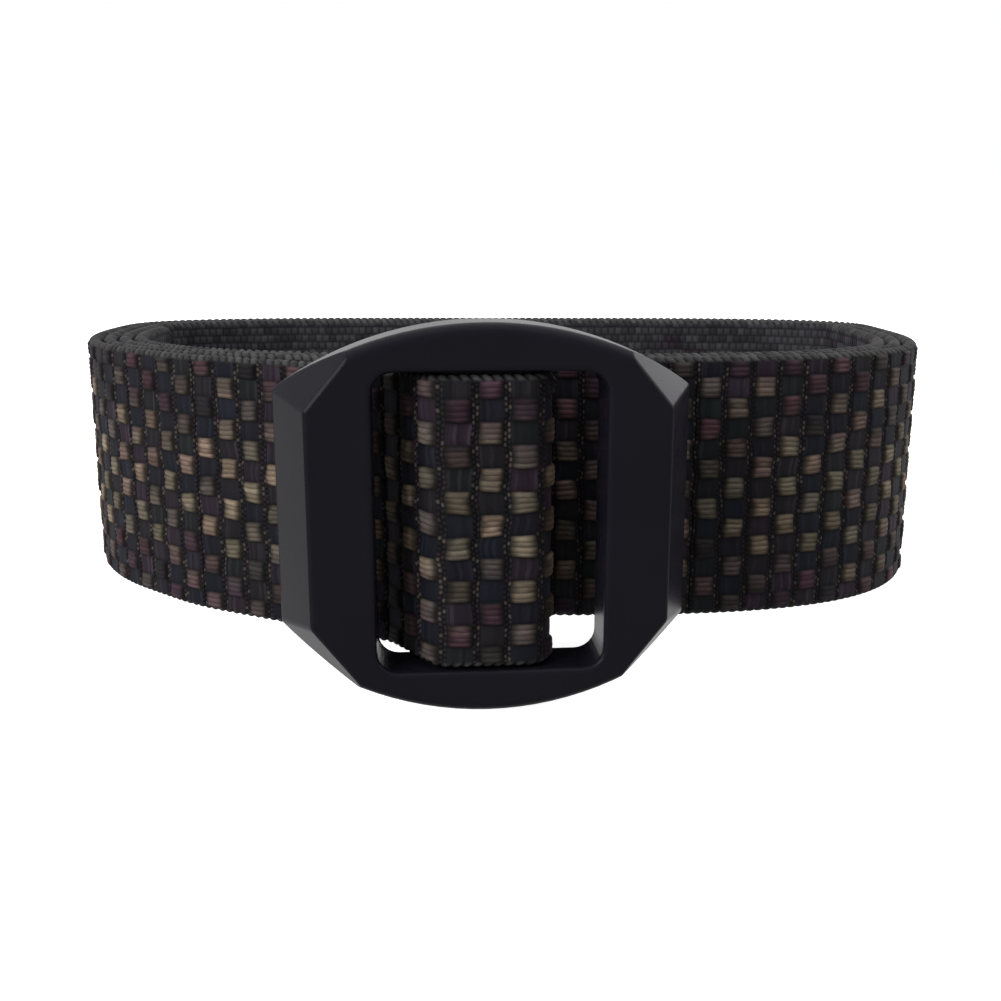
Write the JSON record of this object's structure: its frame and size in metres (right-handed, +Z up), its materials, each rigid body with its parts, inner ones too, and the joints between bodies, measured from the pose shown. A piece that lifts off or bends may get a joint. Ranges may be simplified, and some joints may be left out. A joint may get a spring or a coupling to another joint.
{
  "type": "webbing belt",
  "caption": "Woven webbing belt rolled into an upright oval coil, its outer end sewn round the centre bar of a moulded friction buckle.",
  "frame": {"origin": "bottom centre of the part's box, on the surface that it stands on", "axes": "+X to the right along the coil's long side, +Y from the buckle towards the back of the coil, +Z up"},
  "size_m": [0.1416, 0.104, 0.0508],
  "materials": {
    "webbing": "coarse checkerboard weave of tan, brown and blue-black yarn, dry and matte",
    "sealed_end": "webbing melted together, stiff, slightly glossy",
    "moulded_plastic": "fine moulded grain, satin",
    "stitching": "dense polyester thread"
  },
  "bodies": {
    "coil": {"webbing_coil": "webbing", "tail_tip": "sealed_end"},
    "lead": {"webbing_lead": "webbing"},
    "buckle": {"webbing_loop": "webbing", "bar_tack_1": "stitching", "bar_tack_2": "stitching", "bar_tack_3": "stitching", "bar_tack_4": "stitching", "bar_tack_5": "stitching", "bar_tack_6": "stitching", "buckle_frame": "moulded_plastic", "centre_bar": "moulded_plastic"}
  },
  "joints": [
    {"name": "strap_peel", "type": "hinge", "parent": "coil", "child": "lead", "pos_m": [-0.0547, -0.01622, 0.0234], "axis": [0, -0.0666, -0.9978], "range_deg": [0, 60]},
    {"name": "buckle_swivel", "type": "hinge", "parent": "lead", "child": "buckle", "pos_m": [-0.02769, -0.03345, 0.02455], "axis": [0, 0.0666, 0.9978], "range_deg": [-60, 10]}
  ]
}
